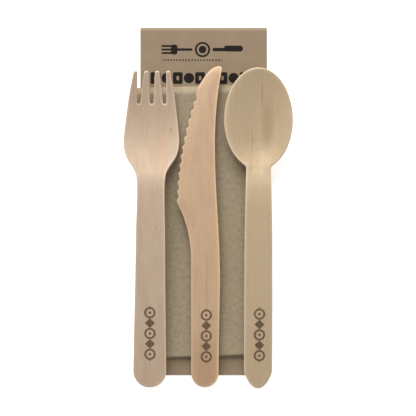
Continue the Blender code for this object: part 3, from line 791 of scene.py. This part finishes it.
def burnt_stamp(tree, place, centre):
    """A plain chain of five motifs along y, ring, diamond, ring, diamond, ring. With
    p the distance to the nearest ring's row, a ring is | |(x, p)| - R | < w and a
    diamond is |x| + (step - p) < D."""
    moved = add_node(tree, "ShaderNodeVectorMath", {0: place, 1: (*centre, 0.0)}, operation="SUBTRACT")
    axis = add_node(tree, "ShaderNodeSeparateXYZ", {0: moved.outputs[0]})
    x = add_node(tree, "ShaderNodeMath", {0: axis.outputs["X"]}, operation="ABSOLUTE").outputs[0]
    p = add_node(tree, "ShaderNodeMath", {0: axis.outputs["Y"], 1: STAMP_STEP}, operation="PINGPONG")
    p = p.outputs[0]
    flat = add_node(tree, "ShaderNodeCombineXYZ", {"X": x, "Y": p})
    radius = add_node(tree, "ShaderNodeVectorMath", {0: flat.outputs[0]}, operation="LENGTH")
    off = add_node(
        tree, "ShaderNodeMath", {0: radius.outputs["Value"], 1: STAMP_RING}, operation="SUBTRACT"
    )
    off = add_node(tree, "ShaderNodeMath", {0: off.outputs[0]}, operation="ABSOLUTE")
    ring = ramp(tree, off.outputs[0], STAMP_LINE - INK_BLUR, STAMP_LINE + INK_BLUR, 1.0, 0.0)
    dot = ramp(tree, radius.outputs["Value"], 0.55, 0.8, 1.0, 0.0)
    corner = add_node(tree, "ShaderNodeMath", {0: STAMP_STEP, 1: p}, operation="SUBTRACT")
    corner = add_node(tree, "ShaderNodeMath", {0: corner.outputs[0], 1: x}, operation="ADD")
    edge = (STAMP_DIAMOND - INK_BLUR, STAMP_DIAMOND + INK_BLUR)
    diamond = ramp(tree, corner.outputs[0], *edge, 1.0, 0.0)
    half_long = 2 * STAMP_STEP + STAMP_RING + 2 * STAMP_LINE
    inside = bar(tree, place, centre, (2 * STAMP_RING, half_long))
    motifs = united(tree, [ring, dot, diamond])
    return add_node(tree, "ShaderNodeMath", {0: motifs, 1: inside}, operation="MULTIPLY").outputs[0]


def birch(name, pale, dark, flush, lean, ring_size, stamp_at, marks):
    """Birch in two close shades, flushed in clouds with a third. lean is the slope of
    its grain, ring_size the mm between its figure's lines, and marks are (centre,
    half axes, colour, strength) of its knots and streaks, and of patches of painted shade."""
    material, tree, shader, place = new_material(name)
    leaned = add_node(tree, "ShaderNodeMapping", {"Vector": place, "Rotation": (0, 0, lean)})
    drift = add_node(tree, "ShaderNodeTexNoise", {
        "Vector": add_node(
            tree, "ShaderNodeVectorMath", {0: leaned.outputs[0], 1: (1 / 22, 1 / 45, 0)},
            operation="MULTIPLY",
        ).outputs[0],
        "Scale": 1.0, "Detail": 1.0,
    })
    wandering = add_node(
        tree, "ShaderNodeVectorMath",
        {0: drift.outputs["Color"], 1: (5.0, 0.0, 0.0), 2: leaned.outputs[0]},
        operation="MULTIPLY_ADD",
    ).outputs[0]
    height = fibres(tree, wandering, (16.0, 120.0, FLAT), detail=1.0)
    lines = add_node(tree, "ShaderNodeMath", {0: height, 1: 100.0 / ring_size}, operation="MULTIPLY")
    rings = add_node(tree, "ShaderNodeMath", {0: lines.outputs[0]}, operation="SINE").outputs[0]
    # Real fibres are 0.02 mm wide: these are drawn 0.4 mm wide, so that they show.
    fine = fibres(tree, wandering, (0.42, 15.0, FLAT), detail=3.0, roughness=0.6)
    vessels = ramp(tree, fibres(tree, wandering, (0.3, 3.6, FLAT), detail=1.0), 0.62, 0.74)
    cloud = fibres(tree, wandering, (6.0, 17.0, FLAT), detail=2.0)

    figure = ramp(tree, rings, -1.0, 1.0, 0.0, 0.42)
    grain = ramp(tree, fine, 0.3, 0.7, 0.0, 0.58)
    share = add_node(tree, "ShaderNodeMath", {0: figure, 1: grain}, operation="ADD").outputs[0]
    colour = add_node(
        tree, "ShaderNodeMix", {0: share, MIX_A: linear(pale), MIX_B: linear(dark)}, data_type="RGBA"
    ).outputs[MIX_COLOUR]
    flushed = ramp(tree, cloud, 0.35, 0.65, 0.0, 0.5)
    colour = add_node(
        tree, "ShaderNodeMix", {0: flushed, MIX_A: colour, MIX_B: linear(flush)}, data_type="RGBA"
    ).outputs[MIX_COLOUR]
    pores = add_node(tree, "ShaderNodeMath", {0: vessels, 1: 0.22}, operation="MULTIPLY").outputs[0]
    layers = [(pores, "#8a6a4a")]
    # Some of these marks are patches of painted shade.
    for centre, half, mark_and_shade_colour, strength in marks:
        soft = spot(tree, place, centre, half)
        soft = add_node(tree, "ShaderNodeMath", {0: soft, 1: strength}, operation="MULTIPLY")
        layers.append((soft.outputs[0], mark_and_shade_colour))
    edge = add_node(tree, "ShaderNodeAttribute", attribute_name="pale_edge").outputs["Fac"]
    edge = add_node(tree, "ShaderNodeMath", {0: edge, 1: 0.75}, operation="MULTIPLY").outputs[0]
    stamp = burnt_stamp(tree, place, stamp_at)
    burn = ramp(tree, fine, 0.25, 0.75, 0.8, 0.97)  # the fibres take the heat unevenly
    burn = add_node(tree, "ShaderNodeMath", {0: stamp, 1: burn}, operation="MULTIPLY").outputs[0]
    layers += [(edge, PALE_RIM[name]), (burn, "#57432f")]
    for mask, layer in layers:
        colour = add_node(
            tree, "ShaderNodeMix", {0: mask, MIX_A: colour, MIX_B: linear(layer)}, data_type="RGBA"
        ).outputs[MIX_COLOUR]

    relief = add_node(tree, "ShaderNodeMath", {0: fine, 1: vessels}, operation="SUBTRACT").outputs[0]
    relief = add_node(tree, "ShaderNodeMath", {0: relief, 1: stamp}, operation="SUBTRACT").outputs[0]
    bump = add_node(tree, "ShaderNodeBump", {"Height": relief, "Strength": 0.35, "Distance": 0.03 * MM})
    tree.links.new(colour, shader.inputs["Base Color"])
    tree.links.new(ramp(tree, fine, 0.3, 0.7, 0.52, 0.66), shader.inputs["Roughness"])
    tree.links.new(bump.outputs[0], shader.inputs["Normal"])
    shader.inputs["Specular IOR Level"].default_value = 0.3
    print(name, len(tree.nodes), "nodes")
    return material


PALE_RIM = {"fork_birch": "#e2cab3", "knife_birch": "#eccea6", "spoon_birch": "#dccaaa"}
FORK_MARKS = [
    ((-18.7, 38.9), (0.45, 1.9), "#a97c4e", 0.8),
    ((-26.0, -10.4), (0.4, 1.3), "#a97c4e", 0.5),
    ((-22.5, 26.0), (3.5, 16.0), "#c79f82", 0.35),
]
KNIFE_MARKS_AND_SHADE = [
    ((4.6, -6.2), (0.7, 2.6), "#b98a50", 0.75),
    ((4.2, -12.0), (1.5, 40.0), "#cfa56c", 0.5),
    ((-0.6, -36.0), (1.3, 20.0), "#b98a64", 0.4),
    # Painted shade: this broad patch darkens the lower end of the handle.
    ((-1.0, -80.0), (9.0, 30.0), "#ab8460", 0.5),
]
SPOON_MARKS_AND_SHADE = [
    # Painted shade in the bowl's hollow, right of its middle, partly the wood's own figure.
    ((29.8, 41.0), (4.5, 17.0), "#a18a68", 0.55),
    ((27.0, 58.0), (0.7, 13.0), "#a1865f", 0.45),
    ((22.0, 30.0), (0.8, 14.0), "#a98b62", 0.35),
]
fork.data.materials.append(birch(
    "fork_birch", "#cbb19a", "#b99f85", "#c5b29a", 0.01, 22.0, (-29.0, -62.7), FORK_MARKS
))
knife.data.materials.append(birch(
    "knife_birch", "#cdb194", "#bd9a7c", "#c7aa87", -0.01, 30.0, (-0.9, -64.0), KNIFE_MARKS_AND_SHADE
))
spoon.data.materials.append(birch(
    "spoon_birch", "#c3ac8c", "#b19a78", "#bfa98b", 0.02, 13.0, (25.6, -63.4), SPOON_MARKS_AND_SHADE
))


# %% [markdown]
# ## Unbleached tissue
# The napkin is recycled tissue, so it is grey-brown, and short fibres of many shades
# lie in it every way. A layer of coarse mottling carries a fine one, and a few dark
# and pale specks stand out. The sheet is creped, which gives its faint relief, and a
# narrow band of embossed dots near its open edges holds its plies together.

# %% Tissue
EMBOSS_PITCH = 1.0  # mm between the embossed dots
EMBOSS_HALF_WIDTH = 0.8  # mm


def tissue(name):
    material, tree, shader, place = new_material(name)
    centre = (NAPKIN_PLACE[0] / MM, NAPKIN_PLACE[1] / MM, 0.0)
    own = add_node(tree, "ShaderNodeVectorMath", {0: place, 1: centre}, operation="SUBTRACT")
    own = add_node(
        tree, "ShaderNodeVectorRotate", {"Vector": own.outputs[0], "Angle": -NAPKIN_TURN},
        rotation_type="Z_AXIS",
    ).outputs[0]
    # Paper fibres are 0.03 mm wide: the finest layer is drawn at 0.5 mm, so that it shows.
    fine = fibres(tree, own, (0.55, 0.5, 3.0), detail=3.0, roughness=0.65)
    mottle = fibres(tree, own, (2.2, 1.8, FLAT), detail=2.0)
    cloud = fibres(tree, own, (11.0, 14.0, FLAT), detail=1.0)
    crepe = fibres(tree, own, (3.4, 0.45, FLAT), detail=2.0)
    dark_speck = ramp(tree, fibres(tree, own, (0.7, 0.5, FLAT), detail=0.0), 0.76, 0.84)
    pale_speck = ramp(tree, fibres(tree, own, (0.5, 0.8, FLAT), detail=0.0), 0.24, 0.16)

    share = add_node(tree, "ShaderNodeMath", {0: ramp(tree, fine, 0.25, 0.75, 0.0, 0.6), 1: ramp(
        tree, mottle, 0.3, 0.7, 0.0, 0.4
    )}, operation="ADD").outputs[0]
    colour = add_node(
        tree, "ShaderNodeMix", {0: share, MIX_A: linear("#8d7f68"), MIX_B: linear("#ad9f87")},
        data_type="RGBA",
    ).outputs[MIX_COLOUR]
    axis = add_node(tree, "ShaderNodeSeparateXYZ", {0: own})
    waves = []
    for name_of_axis in ("X", "Y"):
        turns = add_node(
            tree, "ShaderNodeMath", {0: axis.outputs[name_of_axis], 1: 2 * math.pi / EMBOSS_PITCH},
            operation="MULTIPLY",
        )
        waves.append(add_node(tree, "ShaderNodeMath", {0: turns.outputs[0]}, operation="SINE").outputs[0])
    dots = add_node(tree, "ShaderNodeMath", {0: waves[0], 1: waves[1]}, operation="MULTIPLY").outputs[0]
    half_wide, half_long = 1e3 * TISSUE_FLAT[0] / 8, 1e3 * TISSUE_FLAT[1] / 4
    side = bar(tree, own, (half_wide - 9.4, 0.0), (EMBOSS_HALF_WIDTH, half_long))
    top = bar(tree, own, (0.0, half_long - 2.9), (half_wide, EMBOSS_HALF_WIDTH / 2))
    band = united(tree, [side, top])
    dots = add_node(tree, "ShaderNodeMath", {0: ramp(tree, dots, -0.2, 0.6), 1: band}, operation="MULTIPLY")
    dots = dots.outputs[0]
    crease_highlight_and_wear = add_node(tree, "ShaderNodeAttribute", attribute_name="fold_highlight_and_wear").outputs["Fac"]
    layers = [
        (ramp(tree, cloud, 0.3, 0.7, 0.0, 0.3), "#a89474"),
        (add_node(tree, "ShaderNodeMath", {0: dark_speck, 1: 0.6}, operation="MULTIPLY").outputs[0], "#6f5c41"),
        (add_node(tree, "ShaderNodeMath", {0: pale_speck, 1: 0.6}, operation="MULTIPLY").outputs[0], "#cfc2aa"),
        # The embossed dots are darkened in colour as well as pressed in: painted shade in their dents.
        (add_node(tree, "ShaderNodeMath", {0: dots, 1: 0.35}, operation="MULTIPLY").outputs[0], "#7c6c50"),
        # Paler along the fold: a painted highlight on its crest, partly burnished fibres.
        (add_node(tree, "ShaderNodeMath", {0: crease_highlight_and_wear, 1: 0.6}, operation="MULTIPLY").outputs[0], "#cdbd9f"),
    ]
    for mask, layer in layers:
        colour = add_node(
            tree, "ShaderNodeMix", {0: mask, MIX_A: colour, MIX_B: linear(layer)}, data_type="RGBA"
        ).outputs[MIX_COLOUR]
    relief = add_node(tree, "ShaderNodeMath", {0: fine, 1: crepe}, operation="ADD").outputs[0]
    relief = add_node(tree, "ShaderNodeMath", {0: relief, 1: dots}, operation="SUBTRACT").outputs[0]
    bump = add_node(tree, "ShaderNodeBump", {"Height": relief, "Strength": 0.5, "Distance": 0.08 * MM})
    tree.links.new(colour, shader.inputs["Base Color"])
    tree.links.new(bump.outputs[0], shader.inputs["Normal"])
    shader.inputs["Roughness"].default_value = 0.95
    shader.inputs["Specular IOR Level"].default_value = 0.15
    print(name, len(tree.nodes), "nodes")
    return material


napkin.data.materials.append(tissue("unbleached_tissue"))


# %% [markdown]
# ## Kraft paper and its print
# Brown kraft is smoother than tissue: machine-glazed, with fine fibres along the web
# and soft clouds where the pulp lies thicker. The front carries a print in one black
# ink. It is a plain place setting, a row of dots and a band of blocks, each built
# from bars, rings and a repeated step, so the edges stay sharp at any distance.

# %% Kraft
PRINT_CENTRE = (-2.8, 79.3)  # mm, middle of the plate
PLATE_RING, PLATE_LINE, PLATE_WELL = 3.35, 0.5, 1.9
DOT_ROW_Y, DOT_PITCH, DOT_RADIUS = 74.0, 0.75, 0.42
DOT_ROW_CENTRE, DOT_ROW_HALF = (-8.0, DOT_ROW_Y), (15.0, 0.8)
BAND_CENTRE, BAND_HALF = (-4.0, 65.0), (25.2, 3.0)
BAND_STEP = 5.6  # mm from a block to the next disc


def disc(tree, place, centre, radius):
    """1 inside a circle on the paper's face."""
    away = add_node(tree, "ShaderNodeVectorMath", {0: place, 1: (*centre, 0.0)}, operation="SUBTRACT")
    flat = add_node(
        tree, "ShaderNodeVectorMath", {0: away.outputs[0], 1: (1, 1, 0)}, operation="MULTIPLY"
    )
    length = add_node(tree, "ShaderNodeVectorMath", {0: flat.outputs[0]}, operation="LENGTH")
    return ramp(tree, length.outputs["Value"], radius - INK_BLUR, radius + INK_BLUR, 1.0, 0.0)


def less(tree, mask, hole):
    """A mask with another cut out of it."""
    node = add_node(tree, "ShaderNodeMath", {0: mask, 1: hole}, operation="SUBTRACT", use_clamp=True)
    return node.outputs[0]


def place_setting(tree, place):
    """A plate between a fork and a knife, which lie along x, from bars and discs."""
    x, y = PRINT_CENTRE
    outer = disc(tree, place, PRINT_CENTRE, PLATE_RING + PLATE_LINE)
    plate = less(tree, outer, disc(tree, place, PRINT_CENTRE, PLATE_RING - PLATE_LINE))
    well = disc(tree, place, PRINT_CENTRE, PLATE_WELL)
    fork_bars = [bar(tree, place, (x - 9.0, y), (4.0, 0.62), 0.6), bar(tree, place, (x - 14.2, y), (1.6, 2.5), 1.0)]
    fork_bars += [bar(tree, place, (x - 17.4, y + k * 1.75), (3.2, 0.5), 0.45) for k in (-1, 0, 1)]
    knife_bars = [bar(tree, place, (x + 8.4, y), (3.4, 0.85), 0.8), bar(tree, place, (x + 15.5, y + 0.5), (4.8, 1.5), 1.4)]
    return united(tree, [plate, well, *fork_bars, *knife_bars])


def dot_row(tree, place):
    """Dots along x: with p the distance to the nearest dot, |(p, y)| < r."""
    moved = add_node(tree, "ShaderNodeVectorMath", {0: place, 1: (*DOT_ROW_CENTRE, 0.0)}, operation="SUBTRACT")
    axis = add_node(tree, "ShaderNodeSeparateXYZ", {0: moved.outputs[0]})
    p = add_node(tree, "ShaderNodeMath", {0: axis.outputs["X"], 1: DOT_PITCH}, operation="PINGPONG")
    flat = add_node(tree, "ShaderNodeCombineXYZ", {"X": p.outputs[0], "Y": axis.outputs["Y"]})
    dots = disc(tree, flat.outputs[0], (0.0, 0.0), DOT_RADIUS)
    inside = bar(tree, place, DOT_ROW_CENTRE, DOT_ROW_HALF)
    return add_node(tree, "ShaderNodeMath", {0: dots, 1: inside}, operation="MULTIPLY").outputs[0]


def block_band(tree, place):
    """Blocks with a hole and solid discs in turn along x, by the same folded step."""
    moved = add_node(tree, "ShaderNodeVectorMath", {0: place, 1: (*BAND_CENTRE, 0.0)}, operation="SUBTRACT")
    axis = add_node(tree, "ShaderNodeSeparateXYZ", {0: moved.outputs[0]})
    p = add_node(tree, "ShaderNodeMath", {0: axis.outputs["X"], 1: BAND_STEP}, operation="PINGPONG")
    flat = add_node(tree, "ShaderNodeCombineXYZ", {"X": p.outputs[0], "Y": axis.outputs["Y"]}).outputs[0]
    block = bar(tree, flat, (0.0, 0.0), (2.5, BAND_HALF[1]), 0.9)
    block = less(tree, block, bar(tree, flat, (0.0, 0.0), (0.6, 1.1), 0.5))
    round_one = disc(tree, flat, (BAND_STEP, 0.0), 2.6)
    inside = bar(tree, place, BAND_CENTRE, BAND_HALF)
    both = united(tree, [block, round_one])
    return add_node(tree, "ShaderNodeMath", {0: both, 1: inside}, operation="MULTIPLY").outputs[0]


def kraft(name):
    material, tree, shader, place = new_material(name)
    fine = fibres(tree, place, (0.4, 1.6, FLAT), detail=3.0, roughness=0.6)
    crossing = fibres(tree, place, (1.8, 0.45, FLAT), detail=2.0)
    cloud = fibres(tree, place, (9.0, 13.0, FLAT), detail=2.0)
    speck = ramp(tree, fibres(tree, place, (0.45, 0.6, FLAT), detail=0.0), 0.79, 0.85)
    share = add_node(tree, "ShaderNodeMath", {0: ramp(tree, fine, 0.3, 0.7, 0.0, 0.6), 1: ramp(
        tree, crossing, 0.3, 0.7, 0.0, 0.4
    )}, operation="ADD").outputs[0]
    colour = add_node(
        tree, "ShaderNodeMix", {0: share, MIX_A: linear("#95826a"), MIX_B: linear("#9f8b73")},
        data_type="RGBA",
    ).outputs[MIX_COLOUR]
    ink = united(tree, [place_setting(tree, place), dot_row(tree, place), block_band(tree, place)])
    normal = add_node(tree, "ShaderNodeNewGeometry").outputs["Normal"]
    up = add_node(tree, "ShaderNodeSeparateXYZ", {0: normal}).outputs["Z"]
    front = ramp(tree, up, 0.2, 0.5)
    ink = add_node(tree, "ShaderNodeMath", {0: ink, 1: front}, operation="MULTIPLY").outputs[0]
    layers = [
        (ramp(tree, cloud, 0.3, 0.7, 0.0, 0.45), "#927c64"),
        (add_node(tree, "ShaderNodeMath", {0: speck, 1: 0.5}, operation="MULTIPLY").outputs[0], "#7d6549"),
        (ink, "#1b1714"),
    ]
    for mask, layer in layers:
        colour = add_node(
            tree, "ShaderNodeMix", {0: mask, MIX_A: colour, MIX_B: linear(layer)}, data_type="RGBA"
        ).outputs[MIX_COLOUR]
    bump = add_node(tree, "ShaderNodeBump", {"Height": fine, "Strength": 0.3, "Distance": 0.02 * MM})
    tree.links.new(colour, shader.inputs["Base Color"])
    tree.links.new(bump.outputs[0], shader.inputs["Normal"])
    shader.inputs["Roughness"].default_value = 0.8
    shader.inputs["Specular IOR Level"].default_value = 0.25
    print(name, len(tree.nodes), "nodes")
    return material


sleeve.data.materials.append(kraft("brown_kraft"))


# %% [markdown]
# ## Table, lights and camera
# The pack lies on a white table that is lit a little from below, as a small light
# table is, so the shadows on it stay faint. One large soft light shines low from the
# far end. It has to be low, because the pressed necks and bowls are only a few
# millimetres deep, and a light from straight above would hide them.

# %% Floor, light and camera
FLOOR_HALF = 3.0
FLOOR_GLOW = 0.62
KEY_PLACE = (-0.35, 1.9, 1.0)
KEY_SIZE, KEY_POWER = 1.8, 68.0
WORLD_GLOW = 0.45
FRAME_WIDTH = 208.0 * MM  # what the picture shows across at the height of the cutlery
FRAME_CENTRE = (-0.05 * MM, -0.15 * MM)
FRAME_HEIGHT = 4.0 * MM

floor_mesh = bpy.data.meshes.new("table")
corners = [(-FLOOR_HALF, -FLOOR_HALF), (FLOOR_HALF, -FLOOR_HALF), (FLOOR_HALF, FLOOR_HALF), (-FLOOR_HALF, FLOOR_HALF)]
floor_mesh.from_pydata([(x, y, -0.05 * MM) for x, y in corners], [], [(0, 1, 2, 3)])
floor = bpy.data.objects.new("table", floor_mesh)
bpy.context.scene.collection.objects.link(floor)
table_white = bpy.data.materials.new("white_acrylic")
table_white.use_nodes = True
acrylic = table_white.node_tree.nodes["Principled BSDF"]
acrylic.inputs["Base Color"].default_value = linear("#f4f4f4")
acrylic.inputs["Roughness"].default_value = 0.9
acrylic.inputs["Emission Color"].default_value = (1, 1, 1, 1)
acrylic.inputs["Emission Strength"].default_value = FLOOR_GLOW
floor_mesh.materials.append(table_white)

scene = bpy.context.scene
world = bpy.data.worlds.new("studio")
world.use_nodes = True
world.node_tree.nodes["Background"].inputs["Color"].default_value = (1, 1, 1, 1)
world.node_tree.nodes["Background"].inputs["Strength"].default_value = WORLD_GLOW
scene.world = world

key_data = bpy.data.lights.new("key", "AREA")
key_data.shape = "DISK"
key_data.size = KEY_SIZE
key_data.energy = KEY_POWER
key = bpy.data.objects.new("key", key_data)
scene.collection.objects.link(key)
key.location = KEY_PLACE
key.rotation_euler = (-key.location).to_track_quat("-Z", "Y").to_euler()

camera_data = bpy.data.cameras.new("camera")
camera_data.lens = 200.0
camera = bpy.data.objects.new("camera", camera_data)
scene.collection.objects.link(camera)
camera_height = FRAME_WIDTH * camera_data.lens / camera_data.sensor_width + FRAME_HEIGHT
camera.location = (*FRAME_CENTRE, camera_height)
scene.camera = camera
scene.view_settings.view_transform = "Standard"
print("camera", round(camera_height, 3), "m above the table")


# %% [markdown]
# ## Joining the pieces to the frame
# Each surface takes the place of one imported node, which is hidden, and is hung
# under the root body. The tissue and the kraft are sheets.

for piece, node, slot in [
    (fork, "wood_fork", "birch_fork"),
    (knife, "wood_knife", "birch_knife"),
    (spoon, "wood_spoon", "birch_spoon"),
    (napkin, "folded_napkin", "unbleached_tissue"),
    (sleeve, "kraft_sleeve", "kraft_paper"),
]:
    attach(piece, "root")
    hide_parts(node)
